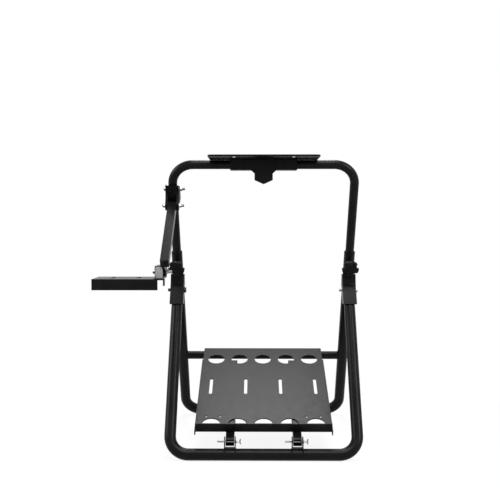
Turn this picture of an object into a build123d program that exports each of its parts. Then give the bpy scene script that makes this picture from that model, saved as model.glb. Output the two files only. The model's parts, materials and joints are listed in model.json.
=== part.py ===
from build123d import *
import os
from math import asin, atan2, cos, hypot, radians, sin

# Folding tube stand: a plate on top, a tray near the floor, and a small plate on an arm at the left.
# X runs to the right as seen from the front, Y to the back, Z up, in millimetres and degrees.
# While it is modelled, X = 0 is the frame's plane of symmetry, Y = 0 the front floor tube, Z = 0 the floor.

# Tubes of the three bent frames
lower_tube_d = 28.0
lower_tube_wall = 1.5
upper_tube_d = 22.0
upper_tube_wall = 1.5
leg_spacing = 446.0
lower_bend_r = 45.0
upper_bend_r = 52.0

# Lean of the legs, and the elbow: a point on the rear leg's axis that heights are counted from
rear_lean = 60.5
front_lean = 60.0
elbow_height = 382.6
leg_offset = 36.0
pivot_below_elbow = 17.5
sleeve_above_elbow = 117.5
top_above_elbow = 366.0
upper_leg_end = 46.0

# Cross bar between the rear legs
bar_d = 22.0
bar_wall = 1.5
bar_below_elbow = 221.0

# Elbow brackets, channels of bent plate on the rear legs, in which the front legs fold
bracket_t = 2.5
bracket_side_gap = 0.9
bracket_top = 59.0
bracket_kink = 6.0
bracket_bottom = 65.0
bracket_grip_low = 22.0
bracket_grip_high = 50.0
bracket_edge = 9.0
stop_gap = 0.4

# Bolts
pivot_bolt_d = 8.0
pivot_bolt_tip = 7.5
tray_bolt_d = 4.0
small_bolt_d = 6.0
bolt_clearance = 0.15
head_gap = 0.3
hex_height = 5.0
hex_ratio = 1.65

# Sleeve bushes and star knobs
bush_length = 20.0
bush_clearance = 0.25
bush_fit = 0.1
bush_collar_d = 26.0
bush_collar_h = 2.0
knob_above_elbow = 91.0
knob_d = 43.5
knob_thickness = 9.0
knob_hub_d = 18.0
knob_hub_h = 2.0
knob_standoff = 34.5
knob_lobes = 5
knob_scallop_r = 8.5
knob_scallop_out = 25.0
knob_round = 2.6
boss_d = 16.0
boss_height = 8.0
stem_d = 8.0
stem_gap = 0.3
stem_collar_d = 22.0
stem_collar_h = 3.0

# Clevises and tray
arm_x = 79.5
arm_size = 20.0
arm_wall = 1.5
arm_length = 345.0
eye_flat = 0.1
clevis_t = 2.2
clevis_side_gap = 1.4
clevis_depth = 24.0
clevis_base_depth = 12.0
clevis_base_t = 3.0
hinge_above_axis = 31.0
tray_width = 326.0
tray_front = 24.0
tray_back = 405.0
tray_t = 2.5
tray_lip = 23.0
tray_flange = 12.0
tray_flange_back = 345.0
tray_rest_gap = 0.3
tray_hole_d = 44.0
tray_hole_from_side = 36.0
tray_hole_count = 5
tray_hole_edge = 29.0
tray_screw_d = 6.0
tray_screw_edge = 58.0
tray_screw_from_side = 23.0
tray_screw_gap = 34.0
tray_slot_length = 70.0
tray_slot_width = 8.0
tray_slot_from_side = 28.0
tray_slot_count = 4
wing_bolt_length = 56.0
wing_stand = 9.0
wing_collar_h = 2.5
wing_span = 13.0
wing_t = 3.0

# Top plate and what carries it
plate_width = 260.0
plate_front = 110.0
plate_back = 80.0
plate_t = 4.0
plate_corner_r = 12.0
plate_slot_x = 70.0
plate_slot_length = 60.0
plate_slot_width = 8.0
saddle_length = 160.0
saddle_t = 3.0
saddle_gap = 0.2
shield_top = 62.0
shield_width = 44.0
shield_shoulder = 8.0
shield_side = 16.0
shield_tip = 10.0
shield_t = 4.0

# Clamp on the left upper leg; its lower end is counted down the leg from the top tube
clamp_below_top = 104.0
clamp_length = 54.5
clamp_bore_gap = 0.1
clamp_split = 0.6
clamp_wall = 2.3
clamp_ear_t = 6.0
clamp_ear_r = 12.0
clamp_ear_rise = 26.0
clamp_pivot_rise = 6.0
clamp_pivot_out = 27.0
clamp_bolt_rise = 29.0
clamp_tip = 6.5

# Swinging arm on the clamp, with its lug, rail and small plate
shifter_arm_outset = 1.3
shifter_arm_size = 20.0
shifter_arm_wall = 1.5
shifter_arm_length = 214.0
shifter_arm_drop = 38.4
ear_gap = 0.5
plug_t = 3.0
plug_insert = 8.0
rail_plug_insert = 6.0
lug_t = 6.0
lug_r = 12.0
lug_inset = 3.5
lug_behind_end = 45.0
lug_below_end = 22.0
lug_weld_high = 62.0
lug_bolt_tip = 7.0
lug_nose = 2.5
lug_gap = 0.2
rail_width = 20.0
rail_height = 30.0
rail_wall = 1.5
rail_below_bolt = 17.0
rail_front = 10.0
rail_back = 55.0
rail_gap = 0.5
shifter_plate_width = 166.5
shifter_plate_t = 2.5
shifter_plate_front = 20.0
shifter_plate_back = 72.0
shifter_plate_lap = 2.5
shifter_plate_inset = 6.0
rail_seat_depth = 0.5
rail_seat_gap = 0.3
shifter_flange = 25.5
shifter_lip = 13.0
shifter_lip_depth = 22.0
shifter_slot_length = 50.0
shifter_slot_width = 7.0
shifter_slot_pitch = 60.0

# Directions: up each leg, and out of each frame's front
UP_REAR = Vector(0, -cos(radians(rear_lean)), sin(radians(rear_lean)))
OUT_REAR = Vector(0, -sin(radians(rear_lean)), -cos(radians(rear_lean)))
UP_FRONT = Vector(0, cos(radians(front_lean)), sin(radians(front_lean)))
OUT_FRONT = Vector(0, -sin(radians(front_lean)), cos(radians(front_lean)))
RIGHT = Vector(1, 0, 0)

# The front leg's axis passes in front of the elbow by leg_offset, and the fold pivot lies on it
lower_r = lower_tube_d / 2
upper_r = upper_tube_d / 2
front_reach = (elbow_height + leg_offset * OUT_FRONT.Z - lower_r) / UP_FRONT.Z
FRONT_FOOT = Vector(0, 0, lower_r)
ELBOW = FRONT_FOOT + UP_FRONT * front_reach - OUT_FRONT * leg_offset
PIVOT = FRONT_FOOT + UP_FRONT * (front_reach - pivot_below_elbow)
rear_reach = (elbow_height - lower_r) / UP_REAR.Z
REAR_FOOT = ELBOW - UP_REAR * rear_reach
leg_x = leg_spacing / 2
shifter_arm_x = -leg_x - shifter_arm_outset
SIDES = {"left": -1, "right": 1}

# Where a block or bar starts from its own origin
standing = (Align.CENTER, Align.CENTER, Align.MIN)
hanging = (Align.CENTER, Align.CENTER, Align.MAX)
along_low = (Align.CENTER, Align.MIN, Align.CENTER)
block_low = (Align.CENTER, Align.MIN, Align.MIN)
edge_low = (Align.MIN, Align.MIN, Align.MIN)

parts = {}


def on_rear(up, out, x=0.0):
    """Point of the rear leg's plane, up the leg from the elbow and out of its front."""
    return ELBOW + UP_REAR * up + OUT_REAR * out + RIGHT * x


def on_front(up, out, x=0.0):
    """Point beside the front leg, up along it from the elbow and out of its front."""
    return ELBOW + UP_FRONT * up + OUT_FRONT * out + RIGHT * x


def rod(start, end, radius):
    """Solid round bar between two points."""
    axis = end - start
    return Plane(origin=start, z_dir=axis) * Cylinder(radius, axis.length, align=standing)


def tube(start, end, diameter, wall):
    """Open round tube between two points."""
    return rod(start, end, diameter / 2) - rod(start, end, diameter / 2 - wall)


def bent_frame(plane, leg, bend, diameter, wall):
    """U of round tube: a cross tube along X, and two legs up or down the plane's Y."""
    path = plane * FilletPolyline((-leg_x, leg), (-leg_x, 0), (leg_x, 0), (leg_x, leg), radius=bend)
    start = Plane(origin=path @ 0, z_dir=path % 0)
    outer = sweep(start * Circle(diameter / 2), path=path)
    inner = sweep(start * Circle(diameter / 2 - wall), path=path)
    return outer - inner


def side_plate(points, x_low, x_high):
    """Plate whose outline lies in Y and Z, from one X to another."""
    outline = Polygon(*[(p.Y, p.Z) for p in points], align=None)
    return extrude(Plane.YZ.offset(x_low) * outline, amount=x_high - x_low, dir=RIGHT)


def hex_head(centre, x_low, width):
    """Hexagon along X, the head or nut of a bolt."""
    plane = Plane(origin=(x_low, centre.Y, centre.Z), x_dir=(0, 1, 0), z_dir=(1, 0, 0))
    return plane * extrude(RegularPolygon(width / 2, 6, major_radius=False), amount=hex_height)


def along_x(centre, x_low, x_high, radius):
    """Round bar along X through a point."""
    return rod(Vector(x_low, centre.Y, centre.Z), Vector(x_high, centre.Y, centre.Z), radius)


def across_bolt(centre, x_low, x_high, diameter):
    """Bolt along X between two faces, a hexagon outside each."""
    shaft = along_x(centre, x_low - hex_height, x_high + hex_height, diameter / 2)
    for head_low in (x_low - hex_height, x_high):
        shaft += hex_head(centre, head_low, hex_ratio * diameter)
    return shaft


def eyed_tube(size, wall, length, hole_r):
    """Square tube along Y whose first end is rounded about a cross hole at the origin."""
    bar = Pos(0, -size / 2, 0) * Box(size, length + size / 2, size, align=along_low)
    bar = fillet(bar.edges().filter_by(Axis.X).group_by(Axis.Y)[0], size / 2 - eye_flat)
    bar -= Pos(0, -size, 0) * Box(size - 2 * wall, length + 2 * size, size - 2 * wall, align=along_low)
    return bar - Rot(0, 90, 0) * Cylinder(hole_r, 2 * size)


def thicken(inner, normals, thickness):
    """Outer line of a plate bent at its middle point."""
    first, second = normals
    corner = (first + second) * (thickness / (1 + first.dot(second)))
    return [inner[0] + first * thickness, inner[1] + corner, inner[2] + second * thickness]


# Rear frame: its legs go on above the elbows as the sleeves
rear_plane = Plane(origin=REAR_FOOT, x_dir=RIGHT, z_dir=OUT_REAR)
rear_leg = rear_reach + sleeve_above_elbow
rear_frame = bent_frame(rear_plane, rear_leg, lower_bend_r, lower_tube_d, lower_tube_wall)
bolt_hole_r = pivot_bolt_d / 2 + bolt_clearance
stem_hole_r = stem_d / 2 + bolt_clearance
for side, sign in SIDES.items():
    seat = on_rear(knob_above_elbow, 0, sign * leg_x)
    rear_frame -= rod(seat, seat + OUT_REAR * lower_tube_d, stem_hole_r)
parts["rear_frame_tube"] = rear_frame

bar_left = on_rear(-bar_below_elbow, 0, -leg_x)
bar_right = on_rear(-bar_below_elbow, 0, leg_x)
cross_bar = tube(bar_left, bar_right, bar_d, bar_wall)
for side, sign in SIDES.items():
    leg_start = on_rear(-bar_below_elbow - lower_tube_d, 0, sign * leg_x)
    cross_bar -= rod(leg_start, leg_start + UP_REAR * (2 * lower_tube_d), lower_r)
parts["rear_cross_bar"] = cross_bar

# Elbow brackets: a web bent to the front leg and the sleeve, and two cheeks that grip the rear leg
cheek_in = lower_r + bracket_side_gap
cheek_out = cheek_in + bracket_t
web_bottom = on_front(-bracket_bottom, leg_offset + lower_r + stop_gap)
web_kink = on_front(-bracket_kink, leg_offset + lower_r + stop_gap)
web_top = on_rear(bracket_top, lower_r + stop_gap)
web_rise = (web_top - web_kink).normalized()
web_out = Vector(0, -web_rise.Z, web_rise.Y)
web_inner = [web_bottom, web_kink, web_top]
web_outer = thicken(web_inner, (OUT_FRONT, web_out), bracket_t)
cheek_bottom = -bracket_bottom + (lower_r + stop_gap + bracket_edge) * OUT_FRONT.Z / UP_FRONT.Z
cheek_rear = [
    on_rear(bracket_grip_high, 0),
    on_rear(bracket_grip_low, lower_r / 2),
    on_front(bracket_edge - pivot_below_elbow, leg_offset - bracket_edge),
    on_front(cheek_bottom, leg_offset - bracket_edge),
]
for side, sign in SIDES.items():
    x = sign * leg_x
    bracket = side_plate(web_inner + web_outer[::-1], x - cheek_out, x + cheek_out)
    for low, high in ((-cheek_out, -cheek_in), (cheek_in, cheek_out)):
        bracket += side_plate(web_outer + cheek_rear, x + low, x + high)
    bracket -= along_x(PIVOT, x - lower_tube_d, x + lower_tube_d, bolt_hole_r)
    parts[f"elbow_bracket_{side}"] = bracket
    bolt = along_x(PIVOT, x - cheek_out - pivot_bolt_tip, x + cheek_out, pivot_bolt_d / 2)
    parts[f"pivot_bolt_{side}"] = bolt + hex_head(PIVOT, x + cheek_out, hex_ratio * pivot_bolt_d)

# Front frame: its legs end in a round about the pivot bolts
front_plane = Plane(origin=FRONT_FOOT, x_dir=RIGHT, z_dir=OUT_FRONT)
front_leg = front_reach - pivot_below_elbow + lower_r
front_frame = bent_frame(front_plane, front_leg, lower_bend_r, lower_tube_d, lower_tube_wall)
leg_end = side_plate(
    [PIVOT - OUT_FRONT * lower_tube_d, PIVOT + OUT_FRONT * lower_tube_d,
     PIVOT + (OUT_FRONT + UP_FRONT) * lower_tube_d, PIVOT + (UP_FRONT - OUT_FRONT) * lower_tube_d],
    -leg_spacing, leg_spacing)
front_frame -= leg_end - along_x(PIVOT, -leg_spacing, leg_spacing, lower_r)
for sign in SIDES.values():
    front_frame -= along_x(PIVOT, sign * leg_x - lower_tube_d, sign * leg_x + lower_tube_d, bolt_hole_r)
parts["front_frame_tube"] = front_frame

# Upper frame, which slides in the sleeves
upper_plane = Plane(origin=on_rear(top_above_elbow, 0), x_dir=RIGHT, z_dir=OUT_REAR)
upper_leg = top_above_elbow - upper_leg_end
parts["upper_frame_tube"] = bent_frame(upper_plane, -upper_leg, upper_bend_r, upper_tube_d, upper_tube_wall)

# Bushes in the sleeve mouths, bosses and star knobs on the sleeves
sleeve_r = lower_r - lower_tube_wall
for side, sign in SIDES.items():
    x = sign * leg_x
    mouth = Plane(origin=on_rear(sleeve_above_elbow, 0, x), x_dir=RIGHT, z_dir=UP_REAR)
    collar = Cylinder(bush_collar_d / 2, bush_collar_h, align=standing)
    collar = chamfer(collar.edges().group_by(Axis.Z)[-1], bush_collar_h / 3)
    bush = collar + Cylinder(sleeve_r - bush_fit, bush_length, align=hanging)
    bush -= Cylinder(upper_r + bush_clearance, 2 * bush_length + 2 * bush_collar_h)
    bush = mouth * bush
    parts[f"sleeve_bush_{side}"] = bush

    seat = on_rear(knob_above_elbow, 0, x)
    boss = rod(seat, seat + OUT_REAR * (lower_r + boss_height), boss_d / 2)
    boss -= rod(seat - UP_REAR * boss_d, seat + UP_REAR * boss_d, lower_r)
    boss -= rod(seat, seat + OUT_REAR * (2 * lower_tube_d), stem_hole_r)
    parts[f"knob_boss_{side}"] = boss

    knob_base = seat + OUT_REAR * knob_standoff
    knob_plane = Plane(origin=knob_base, x_dir=RIGHT, z_dir=OUT_REAR)
    scallops = PolarLocations(knob_scallop_out, knob_lobes, start_angle=90 / knob_lobes)
    outline = Circle(knob_d / 2) - scallops * Circle(knob_scallop_r)
    head = extrude(outline, amount=knob_thickness)
    head = fillet(head.edges().group_by(Axis.Z)[-1], knob_round)
    hub = Cylinder(knob_hub_d / 2, knob_hub_h, align=hanging)
    parts[f"knob_{side}"] = knob_plane * (head + hub)
    stem_start = seat + OUT_REAR * (upper_r + stem_gap)
    stem_end = knob_base - OUT_REAR * knob_hub_h
    stem = rod(stem_start, stem_end, stem_d / 2)
    stem_collar = rod(stem_end - OUT_REAR * stem_collar_h, stem_end, stem_collar_d / 2)
    parts[f"knob_stem_{side}"] = stem + stem_collar

# Clevises on the front floor tube, with the wing bolts that the tray arms hang on
HINGE = FRONT_FOOT + Vector(0, 0, hinge_above_axis)
ear_in = arm_size / 2 + clevis_side_gap
ear_out = ear_in + clevis_t
half_depth = clevis_depth / 2
half_base = clevis_base_depth / 2
base_top = FRONT_FOOT + Vector(0, 0, lower_r + clevis_base_t)
tray_hole_r = tray_bolt_d / 2 + bolt_clearance
for side, sign in SIDES.items():
    x = sign * arm_x
    low = FRONT_FOOT.Z
    base = side_plate(
        [Vector(0, -half_base, low), Vector(0, half_base, low), Vector(0, half_base, base_top.Z),
         Vector(0, -half_base, base_top.Z)], x - ear_out, x + ear_out)
    clevis = base
    for ear_low, ear_high in ((-ear_out, -ear_in), (ear_in, ear_out)):
        ear = side_plate(
            [Vector(0, -half_depth, low), Vector(0, half_depth, low), Vector(0, half_depth, HINGE.Z),
             Vector(0, -half_depth, HINGE.Z)], x + ear_low, x + ear_high)
        clevis += ear + along_x(HINGE, x + ear_low, x + ear_high, half_depth)
    clevis -= along_x(FRONT_FOOT, x - clevis_depth, x + clevis_depth, lower_r)
    clevis -= along_x(HINGE, x - clevis_depth, x + clevis_depth, tray_hole_r)
    parts[f"tray_clevis_{side}"] = clevis

    wing_face = x + ear_out
    wing_seat = wing_face + wing_stand
    wing_bolt = along_x(HINGE, wing_seat + wing_t - wing_bolt_length, wing_seat, tray_bolt_d / 2)
    wing_bolt += along_x(HINGE, wing_face, wing_face + wing_collar_h, tray_bolt_d)
    wing_plane = Plane(origin=(wing_seat, HINGE.Y, HINGE.Z), x_dir=(0, 0, 1), z_dir=(1, 0, 0))
    wing_bolt += wing_plane * extrude(SlotOverall(wing_span, tray_bolt_d), amount=wing_t)
    parts[f"tray_bolt_{side}"] = wing_bolt

# Tray: it rests on the cross bar and hangs on the clevis bolts
bar_centre = on_rear(-bar_below_elbow, 0)
bar_span = bar_centre - HINGE
tray_angle = atan2(bar_span.Z, bar_span.Y)
tray_angle -= asin((arm_size / 2 - bar_d / 2 - tray_rest_gap) / hypot(bar_span.Y, bar_span.Z))
TRAY_UP = Vector(0, -sin(tray_angle), cos(tray_angle))
tray_plane = Plane(origin=HINGE, x_dir=RIGHT, z_dir=TRAY_UP)
tray_length = tray_back - tray_front
pan_z = arm_size / 2
pan = Pos(0, tray_front, pan_z) * Box(tray_width, tray_length, tray_t, align=block_low)
pan += Pos(0, tray_front, pan_z) * Box(tray_width, tray_t, tray_lip, align=block_low)
deep = 4 * tray_t
tray_hole_pitch = (tray_width - 2 * tray_hole_from_side) / (tray_hole_count - 1)
for row in (tray_front + tray_hole_edge, tray_back - 2 * tray_hole_edge):
    for i in range(tray_hole_count):
        hole_x = (i - (tray_hole_count - 1) / 2) * tray_hole_pitch
        pan -= Pos(hole_x, row, pan_z) * Cylinder(tray_hole_d / 2, deep)
tray_screw_outer = tray_width / 2 - tray_screw_from_side
tray_screw_inner = tray_screw_outer - tray_screw_gap
for screw_x in (-tray_screw_outer, -tray_screw_inner, tray_screw_inner, tray_screw_outer):
    pan -= Pos(screw_x, tray_front + tray_screw_edge, pan_z) * Cylinder(tray_screw_d / 2, deep)
tray_middle = (tray_front + tray_back) / 2
tray_slot_pitch = (tray_width - 2 * tray_slot_from_side) / (tray_slot_count - 1)
for i in range(tray_slot_count):
    slot_x = (i - (tray_slot_count - 1) / 2) * tray_slot_pitch
    slot = extrude(SlotOverall(tray_slot_length, tray_slot_width, rotation=90), amount=deep, both=True)
    pan -= Pos(slot_x, tray_middle, pan_z) * slot
parts["tray_pan"] = tray_plane * pan
tray_side = Box(tray_t, tray_flange_back - tray_front, tray_flange, align=block_low)
for side, sign in SIDES.items():
    side_start = Pos(sign * (tray_width + tray_t) / 2, tray_front, pan_z + tray_t - tray_flange)
    parts[f"tray_side_{side}"] = tray_plane * (side_start * tray_side)

tray_arm = eyed_tube(arm_size, arm_wall, arm_length, tray_hole_r)
for side, sign in SIDES.items():
    parts[f"tray_arm_{side}"] = tray_plane * (Pos(sign * arm_x, 0, 0) * tray_arm)

# Top plate on its saddle, and the shield below
TOP = on_rear(top_above_elbow, 0)
plate_z = TOP.Z + upper_r + saddle_gap
plate_depth = plate_front + plate_back
plate_y = TOP.Y + (plate_back - plate_front) / 2
plate_outline = RectangleRounded(plate_width, plate_depth, plate_corner_r)
for sign in (-1, 1):
    for slot_y in (-plate_depth / 4, plate_depth / 4):
        slot = SlotOverall(plate_slot_length, plate_slot_width, rotation=90)
        plate_outline -= Pos(sign * plate_slot_x, slot_y) * slot
parts["wheel_plate"] = Pos(0, plate_y, plate_z) * extrude(plate_outline, amount=plate_t)

saddle_in = upper_r + saddle_gap
saddle_out = saddle_in + saddle_t
saddle_low = TOP.Z - saddle_in
saddle_depth = plate_z - saddle_low
channel = Box(saddle_length, 2 * saddle_out, saddle_depth + saddle_t, align=standing)
hollow = Pos(0, 0, saddle_t) * Box(2 * saddle_length, 2 * saddle_in, saddle_depth, align=standing)
parts["plate_saddle"] = Pos(0, TOP.Y, saddle_low - saddle_t) * (channel - hollow)

shield_z = saddle_low - saddle_t
shield_y = TOP.Y - saddle_out
half_top = shield_top / 2
half_width = shield_width / 2
shoulder_z = shield_z - shield_shoulder
side_z = shoulder_z - shield_side
shield_outline = Polygon(
    (-half_top, shield_z), (-half_width, shoulder_z), (-half_width, side_z), (0, side_z - shield_tip),
    (half_width, side_z), (half_width, shoulder_z), (half_top, shield_z), align=None)
shield_plane = Plane(origin=(0, shield_y, 0), x_dir=RIGHT, z_dir=(0, -1, 0))
parts["shield_gusset"] = shield_plane * extrude(shield_outline, amount=-shield_t)

# Clamp: two halves round the left upper leg, with ears for the arm's eye
small_hole_r = small_bolt_d / 2 + bolt_clearance
clamp_low = top_above_elbow - clamp_below_top
clamp_high = clamp_low + clamp_length
clamp_pivot_up = clamp_low + clamp_pivot_rise
CLAMP_PIVOT = on_rear(clamp_pivot_up, clamp_pivot_out)
clamp_bolt_out = -(upper_r + clamp_bore_gap + small_bolt_d)
CLAMP_BOLT = on_rear(clamp_low + clamp_bolt_rise, clamp_bolt_out)
clamp_axis_x = -leg_x
eye_half = shifter_arm_size / 2 + ear_gap
inner_ear_low = shifter_arm_x + eye_half
inner_face = max(clamp_axis_x + upper_r + clamp_bore_gap + clamp_wall, inner_ear_low + clamp_ear_t)
outer_ear_high = shifter_arm_x - eye_half
outer_face = outer_ear_high - clamp_ear_t
clamp_front = clamp_pivot_out - eye_half - clamp_ear_r / 4
clamp_back = clamp_bolt_out - small_bolt_d
level_top = clamp_high + (clamp_front - clamp_back) * OUT_REAR.Z / UP_REAR.Z
body_points = [
    on_rear(clamp_low, clamp_front), on_rear(clamp_high, clamp_front),
    on_rear(level_top, clamp_back), on_rear(clamp_low, clamp_back)]
ear_points = [
    on_rear(clamp_low, clamp_front), on_rear(clamp_pivot_up + clamp_ear_rise, clamp_front),
    on_rear(clamp_pivot_up + clamp_ear_r, clamp_pivot_out), on_rear(clamp_pivot_up, clamp_pivot_out),
    on_rear(clamp_pivot_up - clamp_ear_r / 2, clamp_pivot_out)]
leg_low = on_rear(clamp_low - upper_tube_d, 0, clamp_axis_x)
leg_high = on_rear(clamp_high + upper_tube_d, 0, clamp_axis_x)
leg_bar = rod(leg_low, leg_high, upper_r + clamp_bore_gap)


def clamp_half(body_low, body_high, ear_low, ear_high):
    """Half of the clamp, with its ear, the leg's groove and both bolt holes."""
    half = side_plate(body_points, body_low, body_high) + side_plate(ear_points, ear_low, ear_high)
    half += along_x(CLAMP_PIVOT, ear_low, ear_high, clamp_ear_r)
    half -= leg_bar
    for centre in (CLAMP_PIVOT, CLAMP_BOLT):
        half -= along_x(centre, body_low - lower_tube_d, body_high + lower_tube_d, small_hole_r)
    return half


parts["clamp_outer"] = clamp_half(outer_face, clamp_axis_x - clamp_split / 2, outer_face, outer_ear_high)
parts["clamp_inner"] = clamp_half(clamp_axis_x + clamp_split / 2, inner_face, inner_ear_low, inner_face)
for name, centre in (("clamp_pivot_bolt", CLAMP_PIVOT), ("clamp_bolt", CLAMP_BOLT)):
    bolt = across_bolt(centre, outer_face, inner_face, small_bolt_d)
    bolt += along_x(centre, inner_face, inner_face + hex_height + clamp_tip, small_bolt_d / 2)
    parts[name] = bolt

# Swinging arm: square tube with an eye at the clamp, a plug and a lug at its lower end
ARM_DOWN = Vector(0, -cos(radians(shifter_arm_drop)), -sin(radians(shifter_arm_drop)))
ARM_OUT = Vector(0, -sin(radians(shifter_arm_drop)), cos(radians(shifter_arm_drop)))
arm_origin = Vector(shifter_arm_x, CLAMP_PIVOT.Y, CLAMP_PIVOT.Z)
arm_plane = Plane(origin=arm_origin, x_dir=-RIGHT, z_dir=ARM_OUT)
tube_half = shifter_arm_size / 2
shifter_arm = eyed_tube(shifter_arm_size, shifter_arm_wall, shifter_arm_length, small_hole_r)
parts["shifter_arm_tube"] = arm_plane * shifter_arm

arm_bore = shifter_arm_size - 2 * shifter_arm_wall
plug = Pos(0, shifter_arm_length, 0) * Box(shifter_arm_size, plug_t, shifter_arm_size, align=along_low)
plug += Pos(0, shifter_arm_length - plug_insert, 0) * Box(arm_bore, plug_insert, arm_bore, align=along_low)
parts["shifter_arm_plug"] = arm_plane * plug

arm_end = arm_origin + ARM_DOWN * shifter_arm_length
LUG = arm_end + Vector(0, lug_behind_end, -lug_below_end)
lug_low = shifter_arm_x - tube_half + lug_inset
lug_high = lug_low + lug_t
weld_line = arm_end - ARM_OUT * tube_half
nose_back = arm_end + ARM_DOWN * (plug_t + lug_gap)
nose_front = nose_back + ARM_DOWN * lug_nose
lug_points = [
    weld_line - ARM_DOWN * lug_weld_high, nose_back - ARM_OUT * tube_half, nose_back + ARM_OUT * tube_half,
    nose_front + ARM_OUT * tube_half, nose_front - ARM_OUT * tube_half,
    LUG - Vector(0, lug_r, 0), LUG + Vector(0, lug_r, 0)]
lug = side_plate(lug_points, lug_low, lug_high) + along_x(LUG, lug_low, lug_high, lug_r)
lug -= along_x(LUG, lug_low - lug_t, lug_high + lug_t, small_hole_r)
parts["shifter_lug"] = lug

# Rail and small plate, which tilt on the lug's bolt
rail_right = lug_low - rail_gap
rail_left = rail_right - rail_width
rail_x = (rail_left + rail_right) / 2
rail_floor = LUG.Z - rail_below_bolt
tilt_bolt = across_bolt(LUG, rail_left - head_gap, lug_high, small_bolt_d)
tilt_bolt += along_x(LUG, lug_high, lug_high + hex_height + lug_bolt_tip, small_bolt_d / 2)
parts["shifter_tilt_bolt"] = tilt_bolt

rail_length = rail_front + rail_back
rail_bore_x = rail_width - 2 * rail_wall
rail_bore_z = rail_height - 2 * rail_wall
rail_start = Pos(rail_x, LUG.Y - rail_front, rail_floor)
rail = rail_start * Box(rail_width, rail_length, rail_height, align=block_low)
rail_bore = Box(rail_bore_x, 2 * rail_length, rail_bore_z, align=block_low)
rail -= rail_start * (Pos(0, -rail_wall, rail_wall) * rail_bore)
rail -= along_x(LUG, rail_left - rail_width, rail_right + rail_width, small_hole_r)
parts["shifter_rail"] = rail

# The front plug sits inside the rail's end, the back one has a flange
plug_start = Pos(rail_x, LUG.Y - rail_front, rail_floor + rail_wall)
parts["rail_plug_front"] = plug_start * Box(rail_bore_x, rail_plug_insert, rail_bore_z, align=block_low)
back_plug = Pos(rail_x, LUG.Y + rail_back, rail_floor) * Box(rail_width, plug_t, rail_height, align=block_low)
insert_start = Pos(rail_x, LUG.Y + rail_back - rail_plug_insert, rail_floor + rail_wall)
back_plug += insert_start * Box(rail_bore_x, rail_plug_insert, rail_bore_z, align=block_low)
parts["rail_plug_back"] = back_plug

# The small plate is pressed down a little under the rail, and its front right corner is turned down
plate_right = rail_right + shifter_plate_lap
plate_left = plate_right - shifter_plate_width
shifter_depth = shifter_plate_front + shifter_plate_back
flange_width = rail_x - plate_left - shifter_plate_t
plate_floor = rail_floor + rail_seat_depth - shifter_plate_t
plate_start = Pos(plate_left, LUG.Y - shifter_plate_front, plate_floor)
plate = plate_start * Box(shifter_plate_width, shifter_depth, shifter_plate_t, align=edge_low)
flange = Box(flange_width, shifter_plate_t, shifter_flange, align=edge_low)
plate += plate_start * (Pos(0, 0, shifter_plate_t - shifter_flange) * flange)
seat_start = Pos(rail_left - rail_seat_gap, LUG.Y - shifter_depth, rail_floor)
plate -= seat_start * Box(2 * rail_width, 2 * shifter_depth, shifter_plate_t, align=edge_low)
corner_width = shifter_plate_inset + shifter_plate_lap
corner = Box(2 * corner_width, shifter_depth, 4 * shifter_plate_t, align=edge_low)
corner_start = Pos(shifter_plate_width - corner_width, shifter_lip_depth, -shifter_plate_t)
plate -= plate_start * (corner_start * corner)
lip = Box(shifter_plate_t, shifter_lip_depth, shifter_lip, align=edge_low)
plate += plate_start * (Pos(shifter_plate_width - shifter_plate_t, 0, -shifter_lip) * lip)
slot_middle = (plate_left + rail_left) / 2
slot_y = LUG.Y + (shifter_plate_back - shifter_plate_front) / 2
slot_shape = SlotOverall(shifter_slot_length, shifter_slot_width, rotation=90)
for sign in (-1, 1):
    slot = extrude(slot_shape, amount=shifter_flange, both=True)
    plate -= Pos(slot_middle + sign * shifter_slot_pitch / 2, slot_y, plate_floor) * slot
parts["shifter_plate"] = plate

# The finished model stands with the middle of its box on the origin
boxes = [shape.bounding_box() for shape in parts.values()]
middle_x = (min(b.min.X for b in boxes) + max(b.max.X for b in boxes)) / 2
middle_y = (min(b.min.Y for b in boxes) + max(b.max.Y for b in boxes)) / 2
to_origin = Pos(-middle_x, -middle_y, -min(b.min.Z for b in boxes))
os.makedirs("parts", exist_ok=True)
for name, shape in parts.items():
    export_step(to_origin * shape, f"parts/{name}.step")
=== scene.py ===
# %% [markdown]
# # A folding stand of black tube
#
# The stand arrives as exact solids, already grouped into the pieces that move together. This lesson
# dresses it: a camera, a pale studio, the finishes, and the small things that solids leave out, such as
# weld beads, washers, threads and wing screws. Nothing that was loaded is moved or reshaped.

import json
from math import cos, pi, radians, sin, sqrt

import bpy
from mathutils import Matrix, Vector


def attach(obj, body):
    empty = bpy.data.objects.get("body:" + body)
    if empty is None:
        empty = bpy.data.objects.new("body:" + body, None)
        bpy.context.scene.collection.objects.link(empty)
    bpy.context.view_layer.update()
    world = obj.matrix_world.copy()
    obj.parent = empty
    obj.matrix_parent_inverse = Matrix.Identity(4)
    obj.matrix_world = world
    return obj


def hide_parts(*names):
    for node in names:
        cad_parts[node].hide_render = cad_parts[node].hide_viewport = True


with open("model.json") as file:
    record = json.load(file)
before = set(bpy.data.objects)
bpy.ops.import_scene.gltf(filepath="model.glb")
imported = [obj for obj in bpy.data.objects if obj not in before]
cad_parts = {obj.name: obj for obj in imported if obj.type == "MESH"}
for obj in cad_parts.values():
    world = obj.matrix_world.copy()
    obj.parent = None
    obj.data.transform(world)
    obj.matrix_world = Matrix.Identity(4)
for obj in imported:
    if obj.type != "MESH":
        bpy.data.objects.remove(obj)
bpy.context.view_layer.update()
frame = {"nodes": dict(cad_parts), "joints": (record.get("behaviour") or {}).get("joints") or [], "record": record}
nodes = frame["nodes"]
slot_of = {part["node"]: part["material_slot"] for part in frame["record"]["subparts"]}
scene = bpy.context.scene
for plain in list(bpy.data.materials):
    bpy.data.materials.remove(plain)

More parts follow.
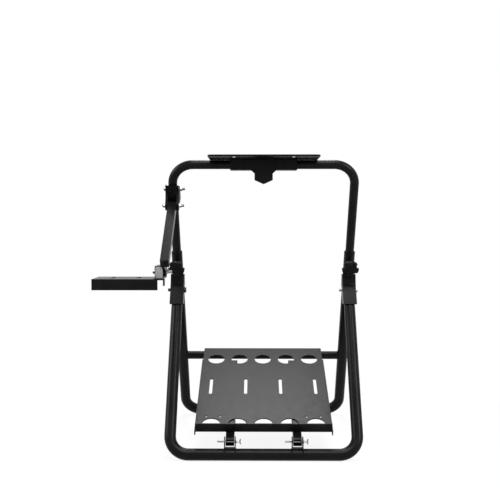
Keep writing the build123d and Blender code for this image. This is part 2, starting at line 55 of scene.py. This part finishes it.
# %% [markdown]
# ## The camera
#
# Nine edges of the frame were traced in the picture and a pinhole camera was fitted to them. It stands
# about two metres in front of the middle of the stand, a little over half a metre up, and looks slightly
# down. A 57.6 mm lens on a 36 mm sensor gives the fitted view.

# %% Camera
eye = Vector((0.05835, -2.06762, 0.558))
gaze = Vector((-0.0084, 0.9994, -0.0328))
camera_data = bpy.data.cameras.new("camera")
camera_data.lens = 57.6
camera_data.sensor_width = 36.0
camera = bpy.data.objects.new("camera", camera_data)
scene.collection.objects.link(camera)
camera.location = eye
camera.rotation_mode = "QUATERNION"
camera.rotation_quaternion = gaze.to_track_quat("-Z", "Y")
scene.camera = camera
print("camera at", tuple(round(c, 3) for c in eye), "lens", camera_data.lens)

# %% [markdown]
# ## The studio
#
# A cut-out picture has a white ground and soft light. The ground is made white by what the camera and the
# mirrored rays see, through the Light Path node, and not by pouring more light on the stand. The light
# that falls on the stand comes from a dimmer world and four lamps: one overhead behind it, which greys
# the tray and the arm, one high in front for the stripe along the floor tube, and one on each side for
# the stripes down the legs. Faces that look straight at the camera see no lamp, so they stay nearly
# black.

# %% World
WHITE = (1.0, 1.0, 1.0, 1.0)
scene.view_settings.view_transform = "Standard"


def seen_ray(tree):
    """Node that is 1 for rays from the camera, a mirror or a clear body."""
    path = tree.nodes.new("ShaderNodeLightPath")
    mirrored = tree.nodes.new("ShaderNodeMath")
    mirrored.operation = "MAXIMUM"
    tree.links.new(path.outputs["Is Glossy Ray"], mirrored.inputs[0])
    tree.links.new(path.outputs["Is Transmission Ray"], mirrored.inputs[1])
    seen = tree.nodes.new("ShaderNodeMath")
    seen.operation = "MAXIMUM"
    tree.links.new(path.outputs["Is Camera Ray"], seen.inputs[0])
    tree.links.new(mirrored.outputs[0], seen.inputs[1])
    return seen


world = bpy.data.worlds.new("studio")
scene.world = world
world.use_nodes = True
sky = world.node_tree
sky.nodes.clear()
lit = sky.nodes.new("ShaderNodeBackground")
lit.inputs["Color"].default_value = WHITE
lit.inputs["Strength"].default_value = 0.14
white = sky.nodes.new("ShaderNodeBackground")
white.inputs["Color"].default_value = WHITE
white.inputs["Strength"].default_value = 1.0
choose = sky.nodes.new("ShaderNodeMixShader")
sky_out = sky.nodes.new("ShaderNodeOutputWorld")
sky.links.new(seen_ray(sky).outputs[0], choose.inputs["Fac"])
sky.links.new(lit.outputs[0], choose.inputs[1])
sky.links.new(white.outputs[0], choose.inputs[2])
sky.links.new(choose.outputs[0], sky_out.inputs["Surface"])
print("world light", lit.inputs["Strength"].default_value)


# %% Lamps
def soft_lamp(name, place, target, wide, tall, power):
    """Rectangular lamp that looks at a point."""
    data = bpy.data.lights.new(name, "AREA")
    data.shape = "RECTANGLE"
    data.size = wide
    data.size_y = tall
    data.energy = power
    lamp = bpy.data.objects.new(name, data)
    scene.collection.objects.link(lamp)
    lamp.location = place
    lamp.rotation_mode = "QUATERNION"
    lamp.rotation_quaternion = (Vector(target) - Vector(place)).to_track_quat("-Z", "Y")
    return lamp


middle = Vector((0.075, 0.0, 0.35))
lamps = [
    soft_lamp("overhead", (0.08, 0.85, 2.4), middle, wide=0.85, tall=1.3, power=47.0),
    soft_lamp("front_high", (0.15, -0.95, 2.3), middle, wide=1.1, tall=0.75, power=38.0),
    soft_lamp("left_side", (-2.2, -0.4, 1.45), middle, wide=1.0, tall=1.2, power=36.0),
    soft_lamp("right_side", (1.9, -1.2, 1.5), middle, wide=0.6, tall=1.2, power=36.0),
]
print("lamps", [lamp.name for lamp in lamps])

# %% [markdown]
# The floor is a pale sheet. Near the stand it takes the stand's soft shadow; further off it fades into
# the white ground, so no horizon shows. The fade is measured on the floor itself, from the middle of the
# stand.

# %% Floor
edge = 9.0
floor_corners = [(-edge, -edge, 0.0), (edge, -edge, 0.0), (edge, edge, 0.0), (-edge, edge, 0.0)]
floor_mesh = bpy.data.meshes.new("floor")
floor_mesh.from_pydata(floor_corners, [], [(0, 1, 2, 3)])
floor = bpy.data.objects.new("floor", floor_mesh)
scene.collection.objects.link(floor)
pale = bpy.data.materials.new("pale_floor")
pale.use_nodes = True
sheet = pale.node_tree
paint = sheet.nodes["Principled BSDF"]
paint.inputs["Base Color"].default_value = (0.9, 0.9, 0.9, 1.0)
paint.inputs["Roughness"].default_value = 0.9
glow = sheet.nodes.new("ShaderNodeEmission")
glow.inputs["Color"].default_value = WHITE
where = sheet.nodes.new("ShaderNodeNewGeometry")
far = sheet.nodes.new("ShaderNodeVectorMath")
far.operation = "LENGTH"
sheet.links.new(where.outputs["Position"], far.inputs[0])
fade = sheet.nodes.new("ShaderNodeMapRange")
fade.interpolation_type = "SMOOTHSTEP"
fade.inputs["From Min"].default_value = 0.3
fade.inputs["From Max"].default_value = 0.95
fade.inputs["To Min"].default_value = 0.88
fade.inputs["To Max"].default_value = 1.0
sheet.links.new(far.outputs["Value"], fade.inputs["Value"])
share = sheet.nodes.new("ShaderNodeMath")
share.operation = "MULTIPLY"
sheet.links.new(seen_ray(sheet).outputs[0], share.inputs[0])
sheet.links.new(fade.outputs[0], share.inputs[1])
blend = sheet.nodes.new("ShaderNodeMixShader")
sheet.links.new(share.outputs[0], blend.inputs["Fac"])
sheet.links.new(paint.outputs[0], blend.inputs[1])
sheet.links.new(glow.outputs[0], blend.inputs[2])
sheet.links.new(blend.outputs[0], sheet.nodes["Material Output"].inputs["Surface"])
floor.data.materials.append(pale)
print("floor fades from", fade.inputs["From Min"].default_value, "m")


# %% [markdown]
# ## The finishes
#
# Every finish is built from nodes in the same order: a noise for the mottling of the colour, a second for
# the patches that are a little shinier, a third, very fine, for the skin of the surface, and a Bevel node
# so that the sharp edges of the solids catch light as real edges do. An image texture would need
# unwrapped pieces; noises in object coordinates need none, and they move with the piece.

# %% Helpers for the finishes
def noise(tree, place, grains, detail):
    """Noise in object coordinates, so many grains to the metre."""
    grain = tree.nodes.new("ShaderNodeTexNoise")
    grain.inputs["Scale"].default_value = grains
    grain.inputs["Detail"].default_value = detail
    tree.links.new(place.outputs["Object"], grain.inputs["Vector"])
    return grain


def ramp(tree, source, dark, light):
    """Colours between two tones, from a noise."""
    tones = tree.nodes.new("ShaderNodeValToRGB")
    low_end, high_end = tones.color_ramp.elements
    low_end.position = 0.35
    low_end.color = (*dark, 1.0)
    high_end.position = 0.65
    high_end.color = (*light, 1.0)
    tree.links.new(source.outputs["Fac"], tones.inputs["Fac"])
    return tones


def spread(tree, source, low, high):
    """Number between two limits, from a noise."""
    limits = tree.nodes.new("ShaderNodeMapRange")
    limits.inputs["From Min"].default_value = 0.3
    limits.inputs["From Max"].default_value = 0.7
    limits.inputs["To Min"].default_value = low
    limits.inputs["To Max"].default_value = high
    tree.links.new(source.outputs["Fac"], limits.inputs["Value"])
    return limits


def rounded_skin(tree, source, edge, height, strength):
    """Normal of a surface with rounded edges and a fine skin."""
    edges = tree.nodes.new("ShaderNodeBevel")
    edges.samples = 4
    edges.inputs["Radius"].default_value = edge
    skin = tree.nodes.new("ShaderNodeBump")
    skin.inputs["Strength"].default_value = strength
    skin.inputs["Distance"].default_value = height
    tree.links.new(source.outputs["Fac"], skin.inputs["Height"])
    tree.links.new(edges.outputs["Normal"], skin.inputs["Normal"])
    return skin


# %% [markdown]
# The four layers go into one helper, so that a finish is only its numbers. A noise is given as its grains
# to the metre and its detail, the gloss as the least and the greatest roughness, and the edge in metres.

# %% Helper that makes a finish
def make_finish(name, dark, light, mottle, gloss, patches, edge, skin, height, strength):
    """Finish with mottled colour, patchy gloss, rounded edges and a fine skin; gives its shader too."""
    material = bpy.data.materials.new(name)
    material.use_nodes = True
    tree = material.node_tree
    shader = tree.nodes["Principled BSDF"]
    place = tree.nodes.new("ShaderNodeTexCoord")
    colour = ramp(tree, noise(tree, place, *mottle), dark, light)
    tree.links.new(colour.outputs["Color"], shader.inputs["Base Color"])
    roughness = spread(tree, noise(tree, place, *patches), *gloss)
    tree.links.new(roughness.outputs[0], shader.inputs["Roughness"])
    surface = rounded_skin(tree, noise(tree, place, *skin), edge, height, strength)
    tree.links.new(surface.outputs["Normal"], shader.inputs["Normal"])
    print("made", material.name)
    return material, shader


# %% [markdown]
# Powder coat is baked on as dust, so its skin has a slight orange peel about a millimetre across, and it
# is satin, not mirror-like. It is a deep black: its colour is half a hundredth of white, and the low
# specular level keeps it that dark in a white studio. The coat is thinner over edges, which the Bevel
# node rounds.

# %% Black coat
black_coat, shader = make_finish(
    "black_coat", dark=(0.003, 0.003, 0.0032), light=(0.0055, 0.0055, 0.0058), mottle=(22.0, 4.0),
    gloss=(0.28, 0.33), patches=(75.0, 3.0), edge=0.0007, skin=(900.0, 2.0), height=0.0002, strength=0.05)
shader.inputs["Specular IOR Level"].default_value = 0.08

# %% [markdown]
# The knobs, bushes, clamp halves and end plugs are moulded. A mould is sparked to a fine grain, so the
# plastic is rougher than the coat and scatters its highlights. One plug is of grey plastic.

# %% Black and grey plastic
black_plastic, shader = make_finish(
    "black_plastic", dark=(0.0025, 0.0025, 0.0027), light=(0.005, 0.005, 0.0052), mottle=(60.0, 3.0),
    gloss=(0.46, 0.6), patches=(240.0, 2.0), edge=0.0009, skin=(2200.0, 3.0), height=0.0002, strength=0.2)
shader.inputs["Specular IOR Level"].default_value = 0.07

grey_plastic, shader = make_finish(
    "grey_plastic", dark=(0.3, 0.3, 0.3), light=(0.4, 0.4, 0.395), mottle=(110.0, 4.0),
    gloss=(0.45, 0.6), patches=(240.0, 2.0), edge=0.0009, skin=(2200.0, 3.0), height=0.0002, strength=0.2)

# %% [markdown]
# The bolts are zinc plated or blackened steel. Plating is a thin crystal skin: bright, but broken into
# cloudy patches, with fine lines left by the tools. Blackened steel is the same metal with most of its
# shine gone.

# %% Zinc and dark steel
zinc_steel, shader = make_finish(
    "zinc_steel", dark=(0.26, 0.26, 0.27), light=(0.42, 0.42, 0.41), mottle=(420.0, 5.0),
    gloss=(0.26, 0.44), patches=(650.0, 3.0), edge=0.0004, skin=(3000.0, 4.0), height=0.0001,
    strength=0.15)
shader.inputs["Metallic"].default_value = 1.0

dark_steel, shader = make_finish(
    "dark_steel", dark=(0.03, 0.03, 0.032), light=(0.06, 0.06, 0.062), mottle=(420.0, 5.0),
    gloss=(0.32, 0.5), patches=(650.0, 3.0), edge=0.0004, skin=(3000.0, 4.0), height=0.0001,
    strength=0.15)
shader.inputs["Metallic"].default_value = 1.0

# %% Dress the loaded solids
finishes = {}
for material in (black_coat, black_plastic, grey_plastic, zinc_steel, dark_steel):
    finishes[material.name] = material
for name, node in nodes.items():
    node.data.materials.clear()
    node.data.materials.append(finishes[slot_of[name]])
print({slot: sum(1 for node_slot in slot_of.values() if node_slot == slot) for slot in finishes})


# %% [markdown]
# ## Places on the stand
#
# A maker measures a weld or a washer from the nearest axle or bolt, and so does this lesson. The frame
# lists its joints with their axes and places: the fold pivot, the tray's hinge, the eye of the arm, the
# tilt bolt, and a knob on either rear leg. The axis of the sliding upper frame points up the legs, and a
# knob's own axis points out of their front. A few helpers count millimetres from there, so no place is
# typed in twice.

# %% Joints of the stand
joints = {joint["name"]: joint for joint in frame["joints"]}
joint_place = {name: Vector(joint["pos_m"]) for name, joint in joints.items() if "pos_m" in joint}
side_sign = {"left": -1, "right": 1}
knob_seat = {side: joint_place[f"{side}_knob_turn"] for side in side_sign}
pivot = joint_place["front_fold"]
hinge = joint_place["tray_tilt"]
arm_eye = joint_place["shifter_arm_swing"]
tilt = joint_place["shifter_plate_tilt"]
rear_up = Vector(joints["height_slide"]["axis"])
rear_out = Vector(joints["left_knob_turn"]["axis"])
to_right = Vector((1.0, 0.0, 0.0))
leg_half = (knob_seat["right"].x - knob_seat["left"].x) / 2
print("legs", round(2 * leg_half, 4), "m apart, fold pivot at", tuple(round(c, 4) for c in pivot))


# %% Helpers that count millimetres
def off(place, x, y=0.0, z=0.0):
    """Place so many millimetres right, back and up of another."""
    return place + Vector((x, y, z)) / 1000


def on_leg(side, up, out, across=0.0):
    """Place by a rear leg, up it from the knob's axis, out of its front and to the right."""
    return knob_seat[side] + (rear_up * up + rear_out * out + to_right * across) / 1000


def lean(angle):
    """Direction in the side view, an angle above the way to the back."""
    return Vector((0.0, cos(radians(angle)), sin(radians(angle))))


# %% [markdown]
# ## Weld beads
#
# The brackets and bars are welded on before the frame is coated, so each seam has a rippled bead under
# the same black. A bead is a thin curve with a round bevel. Its points sit half a millimetre apart, and
# their radius rises and falls every two millimetres, as the puddle freezes in steps.

# %% Helpers for beads
POINT_STEP = 0.0005
RIPPLE_POINTS = 4.4
TURN = [2 * pi * i / 48 for i in range(48)]


def even_spots(line, step):
    """Points at even steps along a broken line."""
    spots = []
    left = 0.0
    for start, end in zip(line[:-1], line[1:]):
        run = (end - start).length
        while left <= run:
            spots.append(start.lerp(end, left / run))
            left += step
        left -= run
    return spots


def weld_bead(name, body, line, thick, closed=False):
    """Rippled run of weld along a line, black like the frame, with its radius in millimetres."""
    spots = even_spots(line + line[:1] if closed else line, POINT_STEP)
    curve = bpy.data.curves.new(name, "CURVE")
    curve.dimensions = "3D"
    curve.bevel_depth = thick / 1000
    curve.bevel_resolution = 2
    curve.use_fill_caps = True
    spline = curve.splines.new("POLY")
    spline.points.add(len(spots) - 1)
    for i, spot in enumerate(spots):
        spline.points[i].co = (*spot, 1.0)
        spline.points[i].radius = 0.84 + 0.16 * abs(sin(pi * i / RIPPLE_POINTS))
    spline.use_cyclic_u = closed
    curve.materials.append(black_coat)
    bead = bpy.data.objects.new(name, curve)
    scene.collection.objects.link(bead)
    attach(bead, body)
    return bead


beads = []

# %% [markdown]
# Where a round bar or boss meets a round leg, the bead is a saddle-shaped ring: its points lie on the
# bar's circle and are pushed out to the surface of the leg. The cheeks of the elbow brackets get a
# straight bead on either side of the leg, and the web between them a short one across its front.

# %% Beads on the rear frame
leg_r = 14.0
bar_below_knob = 312.0
bar_weld_r = 11.2
boss_weld_r = 8.2
cheek_weld_x = 14.7
cheek_weld_ends = ((-42.0, -0.6), (-67.0, 5.6))
web_below_knob = 31.4
web_weld_r = 14.6
for side, sign in side_sign.items():
    bar_ring = []
    boss_ring = []
    for angle in TURN:
        out = bar_weld_r * sin(angle)
        inward = -sign * sqrt(leg_r ** 2 - out ** 2)
        bar_ring.append(on_leg(side, bar_weld_r * cos(angle) - bar_below_knob, out, inward))
        across = boss_weld_r * cos(angle)
        out = sqrt(leg_r ** 2 - across ** 2)
        boss_ring.append(on_leg(side, boss_weld_r * sin(angle), out, across))
    beads.append(weld_bead(f"bead_cross_bar_{side}", "rear_assembly", bar_ring, thick=1.7, closed=True))
    beads.append(weld_bead(f"bead_boss_{side}", "rear_assembly", boss_ring, thick=1.2, closed=True))
    for cheek, x in (("inner", -cheek_weld_x), ("outer", cheek_weld_x)):
        line = [on_leg(side, up, out, sign * x) for up, out in cheek_weld_ends]
        beads.append(weld_bead(f"bead_cheek_{cheek}_{side}", "rear_assembly", line, thick=1.6))
    line = []
    for x in (-7.0, -4.0, 0.0, 4.0, 7.0):
        line.append(on_leg(side, -web_below_knob, sqrt(web_weld_r ** 2 - x ** 2), x))
    beads.append(weld_bead(f"bead_web_{side}", "rear_assembly", line, thick=1.4))
print("beads", len(beads))

# %% [markdown]
# The clevis ears follow the round of the floor tube, so their beads do as well. The pan is stitched to
# its two square arms with short runs, because a long bead would warp the thin sheet.

# %% Beads under the tray and at its clevises
mount_axis = {mount["name"]: Vector(mount["axis"]) for mount in frame["record"]["mounts"]}
tray_up = mount_axis["pedal_tray_top"]
tray_along = tray_up.cross(to_right)
arm_x = 79.5
ear_weld_x = 13.9
floor_tube_drop = 30.8
arm_weld_x = 10.5
arm_weld_up = 9.5
arm_weld_length = 30.0
for side, sign in side_sign.items():
    for ear, x in (("left", -ear_weld_x), ("right", ear_weld_x)):
        line = []
        for y in range(-12, 13, 2):
            line.append(off(hinge, sign * arm_x + x, y, sqrt(leg_r ** 2 - y ** 2) - floor_tube_drop))
        beads.append(weld_bead(f"bead_clevis_{ear}_ear_{side}", "front_assembly", line, thick=1.2))
    for run, start in enumerate((40.0, 150.0, 260.0)):
        for edge, x in (("inner", -arm_weld_x), ("outer", arm_weld_x)):
            seam = off(hinge, sign * (arm_x + x)) + tray_up * arm_weld_up / 1000
            line = [seam + tray_along * y / 1000 for y in (start, start + arm_weld_length)]
            beads.append(weld_bead(f"bead_tray_arm_{edge}_{run}_{side}", "tray_assembly", line, thick=1.2))
print("beads", len(beads))

# %% [markdown]
# The saddle under the top plate hugs the top tube: a ring closes each of its ends, short runs join it to
# the plate, and one more holds the shield. They are counted from the axis of the top tube.

# %% Beads at the top plate
top_above_knob = 275.0
top_tube = (knob_seat["left"] + knob_seat["right"]) / 2 + rear_up * top_above_knob / 1000
saddle_end_x = 80.4
saddle_weld_r = 11.4
saddle_weld_y = 14.85
saddle_weld_z = 10.45
saddle_weld_length = 40.0
shield_weld_half = 28.0
shield_weld_y = -9.55
shield_weld_z = -14.75
for side, sign in side_sign.items():
    line = []
    for angle in TURN:
        y = saddle_weld_r * cos(angle)
        line.append(off(top_tube, sign * saddle_end_x, y, saddle_weld_r * sin(angle)))
    beads.append(weld_bead(f"bead_saddle_end_{side}", "upper_assembly", line, thick=1.3, closed=True))
for edge, y in (("front", -saddle_weld_y), ("back", saddle_weld_y)):
    for run, start in enumerate((-74.0, -20.0, 34.0)):
        line = [off(top_tube, x, y, saddle_weld_z) for x in (start, start + saddle_weld_length)]
        beads.append(weld_bead(f"bead_saddle_{edge}_{run}", "upper_assembly", line, thick=1.2))
line = [off(top_tube, x, shield_weld_y, shield_weld_z) for x in (-shield_weld_half, shield_weld_half)]
beads.append(weld_bead("bead_shield", "upper_assembly", line, thick=1.3))
print("beads", len(beads))

# %% [markdown]
# The arm slopes down from its eye at 38.4 degrees, and the lug is welded under its lower end by a bead on
# either side. Two short runs hold the rail to its plate.

# %% Beads at the lug and the rail
arm_drop = 38.4
arm_length = 214.0
arm_weld_below = 10.2
lug_weld_ends = (14.0, 60.0)
rail_weld_x = -20.6
rail_weld_z = -16.134
rail_weld_length = 26.0
arm_down = lean(180.0 + arm_drop)
arm_out = lean(90.0 + arm_drop)
under_arm = arm_eye + (arm_down * arm_length - arm_out * arm_weld_below) / 1000
for edge, x in (("left", -6.9), ("right", -0.1)):
    line = [off(under_arm, x) - arm_down * along / 1000 for along in lug_weld_ends]
    beads.append(weld_bead(f"bead_lug_{edge}", "arm_assembly", line, thick=1.2))
for run, start in enumerate((-7.2, 25.8)):
    line = [off(tilt, rail_weld_x, y, rail_weld_z) for y in (start, start + rail_weld_length)]
    beads.append(weld_bead(f"bead_rail_{run}", "table_assembly", line, thick=1.2))
print("beads", len(beads))


# %% [markdown]
# ## Turned and threaded details
#
# Washers, caps and collars are round, so each is a short profile turned by a Screw modifier. The same
# modifier makes a thread when it also climbs by one pitch each turn. An Edge Split modifier keeps the
# corners crisp. A ready-made cylinder would have no rounded rim, and a profile gets one from two more
# points.

# %% Helpers for turned pieces
def stand_along(piece, centre, axis):
    """Puts a piece's own Z along an axis, from a point."""
    piece.matrix_world = Matrix.Translation(centre) @ axis.to_track_quat("Z", "Y").to_matrix().to_4x4()


def outline(name, profile, edges, finish):
    """Outline of radii and heights in millimetres, ready to be turned."""
    mesh = bpy.data.meshes.new(name)
    mesh.from_pydata([(r / 1000, 0.0, h / 1000) for r, h in profile], edges, [])
    mesh.materials.append(finish)
    piece = bpy.data.objects.new(name, mesh)
    scene.collection.objects.link(piece)
    return piece


def turned(name, body, centre, axis, finish, profile):
    """Round piece from a profile of radii and heights in millimetres."""
    piece = outline(name, profile, [(i, i + 1) for i in range(len(profile) - 1)], finish)
    lathe = piece.modifiers.new("lathe", "SCREW")
    lathe.steps = lathe.render_steps = 48
    lathe.use_merge_vertices = True
    lathe.merge_threshold = 0.00001
    lathe.use_smooth_shade = True
    lathe.use_normal_calculate = True
    crisp = piece.modifiers.new("crisp", "EDGE_SPLIT")
    crisp.split_angle = radians(32)
    stand_along(piece, centre, axis)
    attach(piece, body)
    return piece


def thread(name, body, centre, axis, finish, radius, pitch, length):
    """Screw thread on a shank, as one ridge that climbs."""
    root = radius - 0.1
    crest = radius + 0.22
    ridge = [(root, 0.0), (crest, 0.45 * pitch), (crest, 0.55 * pitch), (root, pitch)]
    piece = outline(name, ridge, [(0, 1), (1, 2), (2, 3), (3, 0)], finish)
    climb = piece.modifiers.new("climb", "SCREW")
    climb.steps = climb.render_steps = 28
    climb.screw_offset = pitch / 1000
    climb.iterations = int(length / pitch)
    climb.use_smooth_shade = False
    climb.use_normal_calculate = True
    stand_along(piece, centre, axis)
    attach(piece, body)
    return piece


def washer(name, body, centre, axis, finish, bore, rim):
    """Flat ring a millimetre thick with rounded rims."""
    flat = rim - 0.25
    profile = [
        (bore, 0.0), (flat, 0.0), (rim, 0.3), (rim, 0.75), (flat, 1.0), (bore, 1.0), (bore, 0.0)]
    return turned(name, body, centre, axis, finish, profile)


# %% [markdown]
# The legs fold on two thick bolts through the elbow brackets. Each has a washer under its head, and its
# thread shows beyond the nut.

# %% Pivot bolts
head_x = 17.4
nut_x = -17.6
for side, sign in side_sign.items():
    spot = pivot + to_right * sign * leg_half
    finish = finishes[slot_of[f"pivot_bolt_{side}"]]
    washer(f"pivot_washer_{side}", "rear_assembly", off(spot, head_x), to_right, finish, bore=4.0, rim=8.6)
    thread(f"pivot_thread_{side}", "rear_assembly", off(spot, nut_x), -to_right, finish,
           radius=4.0, pitch=1.25, length=7.2)
print("pivot bolts at", tuple(round(c, 4) for c in pivot))

# %% [markdown]
# Two thinner bolts close the clamp on the left leg, and the arm turns on the lower one. From inside to
# outside each has a thread end, a lock ring in its nut, a washer on either face, and a domed cap on its
# head.

# %% Clamp bolts
small_bolt_r = 3.0
small_pitch = 1.0
nut_height = 5.0
lock_ring_height = 1.8
clamp_half = 16.5
clamp_bolt = on_leg("left", up=200.0, out=-17.1, across=-1.3)
lock_ring = [(3.0, 0.0), (4.6, 0.0), (4.6, 1.2), (4.0, 1.9), (3.05, 1.9)]
bolt_cap = [(4.4, 0.0), (4.3, 0.9), (3.4, 2.0), (1.8, 2.6), (0.0, 2.8)]
for name, spot in (("clamp_pivot", arm_eye), ("clamp_bolt", clamp_bolt)):
    inner = off(spot, clamp_half)
    outer = off(spot, -clamp_half)
    nut_top = off(inner, nut_height)
    tip = off(nut_top, lock_ring_height)
    head_top = off(outer, -nut_height)
    washer(f"{name}_washer_inner", "upper_assembly", inner, to_right, zinc_steel, small_bolt_r, rim=6.4)
    washer(f"{name}_washer_outer", "upper_assembly", outer, -to_right, zinc_steel, small_bolt_r, rim=6.4)
    turned(f"{name}_lock_ring", "upper_assembly", nut_top, to_right, zinc_steel, lock_ring)
    thread(f"{name}_thread", "upper_assembly", tip, to_right, dark_steel,
           small_bolt_r, small_pitch, length=5.0)
    turned(f"{name}_cap", "upper_assembly", head_top, -to_right, dark_steel, bolt_cap)
print("clamp bolts at", [tuple(round(c, 4) for c in spot) for spot in (arm_eye, clamp_bolt)])

# %% [markdown]
# A bolt of the same size holds the rail to the lug, and the plate tilts on it. It has a washer on either
# face, and its thread stands out of the nut.

# %% Tilt bolt
rail_face = off(tilt, -20.3)
lug_face = off(tilt, 6.5)
tip = off(lug_face, nut_height)
washer("tilt_washer_left", "arm_assembly", rail_face, -to_right, zinc_steel, small_bolt_r, rim=6.2)
washer("tilt_washer_right", "arm_assembly", lug_face, to_right, zinc_steel, small_bolt_r, rim=6.2)
thread("tilt_thread", "arm_assembly", tip, to_right, zinc_steel, small_bolt_r, small_pitch, length=6.8)
print("tilt bolt at", tuple(round(c, 4) for c in tilt))

# %% [markdown]
# The star knobs screw into the bosses and press on the inner tube. Their stems are threaded where they
# show, and a thin moulded cap with a ring closes the hole in the middle of each knob.

# %% Knob stems and caps
boss_top_out = 22.2
knob_top_out = 43.5
knob_cap = [
    (0.0, 0.9), (3.2, 0.9), (3.6, 0.6), (4.6, 0.6), (5.0, 0.9), (7.6, 0.8), (8.4, 0.3), (8.6, -0.3)]
for side in side_sign:
    body = f"{side}_knob"
    boss_top = on_leg(side, 0.0, boss_top_out)
    knob_top = on_leg(side, 0.0, knob_top_out)
    thread(f"stem_thread_{side}", body, boss_top, rear_out, zinc_steel, radius=4.0, pitch=1.25, length=7.0)
    turned(f"knob_cap_{side}", body, knob_top, rear_out, black_plastic, knob_cap)
print("knob caps at", [tuple(round(c, 4) for c in on_leg(side, 0.0, knob_top_out)) for side in side_sign])

# %% [markdown]
# ## Wing screws
#
# The tray hangs on two thin wing screws. The solid shows them as a rod with a flat bar, so a detailed
# screw takes its place: a turned shank and collar, a thread, and two bent wings. A wing is a strip of a
# few points along a curved line; Solidify gives it thickness and a Subdivision Surface rounds it.

# %% Helper for bent strips
def bent_strip(name, body, middle_line, widths, sideways, thick, finish):
    """Rounded strip along a line of points, with a half width at each."""
    corners = []
    for spot, half_width in zip(middle_line, widths):
        reach = sideways * half_width / 1000
        corners += [spot - reach, spot, spot + reach]
    faces = []
    for i in range(len(middle_line) - 1):
        for j in (0, 1):
            low = 3 * i + j
            faces.append((low, low + 1, low + 4, low + 3))
    mesh = bpy.data.meshes.new(name)
    mesh.from_pydata([tuple(corner) for corner in corners], [], faces)
    mesh.materials.append(finish)
    for face in mesh.polygons:
        face.use_smooth = True
    piece = bpy.data.objects.new(name, mesh)
    scene.collection.objects.link(piece)
    thickness = piece.modifiers.new("thickness", "SOLIDIFY")
    thickness.thickness = thick / 1000
    thickness.offset = 0.0
    rounding = piece.modifiers.new("rounding", "SUBSURF")
    rounding.levels = rounding.render_levels = 2
    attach(piece, body)
    return piece


# %% Wing screws in the clevises
shank_r = 1.9
shank_tip = -44.0
thread_tip = -43.2
ear_face = 13.6
shank = [
    (0.0, shank_tip), (1.4, shank_tip), (shank_r, shank_tip + 0.7), (shank_r, 0.0), (4.0, 0.0), (4.0, 1.7),
    (3.3, 2.5), (shank_r, 2.5), (shank_r, 8.4), (2.7, 9.0), (2.7, 11.0), (1.7, 11.8), (0.0, 12.0)]
wing_curve = ((1.6, 9.6), (3.0, 9.9), (4.4, 10.5), (5.7, 11.1), (6.6, 11.3))
wing_widths = (1.8, 2.4, 2.8, 2.5, 1.3)
for side, sign in side_sign.items():
    ear = off(hinge, sign * arm_x + ear_face)
    screw = turned(f"wing_screw_{side}", "front_assembly", ear, to_right, zinc_steel, shank)
    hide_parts(f"tray_bolt_{side}")
    thread(f"wing_thread_{side}", "front_assembly", off(ear, thread_tip), to_right, zinc_steel,
           shank_r, pitch=0.7, length=15.0)
    for wing, angle in (("upper", 100.0), ("lower", 280.0)):
        line = [off(ear, x) + lean(angle) * r / 1000 for r, x in wing_curve]
        sideways = lean(angle - 90.0)
        bent_strip(f"wing_{wing}_{side}", "front_assembly", line, wing_widths, sideways, 2.0, dark_steel)
print("wing screws at", tuple(round(c, 4) for c in hinge))

# %% [markdown]
# The upper clamp bolt is tightened by hand, so it has a thumb tab: the same kind of strip, which lies
# along the leg and bends in towards it at its free end.

# %% Thumb tab on the upper clamp bolt
tab_x = -19.5
tab_curve = ((-3.5, 0.4), (0.0, 0.0), (5.0, 0.2), (9.0, 1.2), (13.0, 2.8))
tab_widths = (3.2, 4.0, 3.6, 3.2, 2.0)
line = [off(clamp_bolt, tab_x + x) + rear_up * up / 1000 for up, x in tab_curve]
bent_strip("clamp_thumb_tab", "upper_assembly", line, tab_widths, rear_out, 1.6, dark_steel)
print("thumb tab from", tuple(round(c, 4) for c in line[0]))
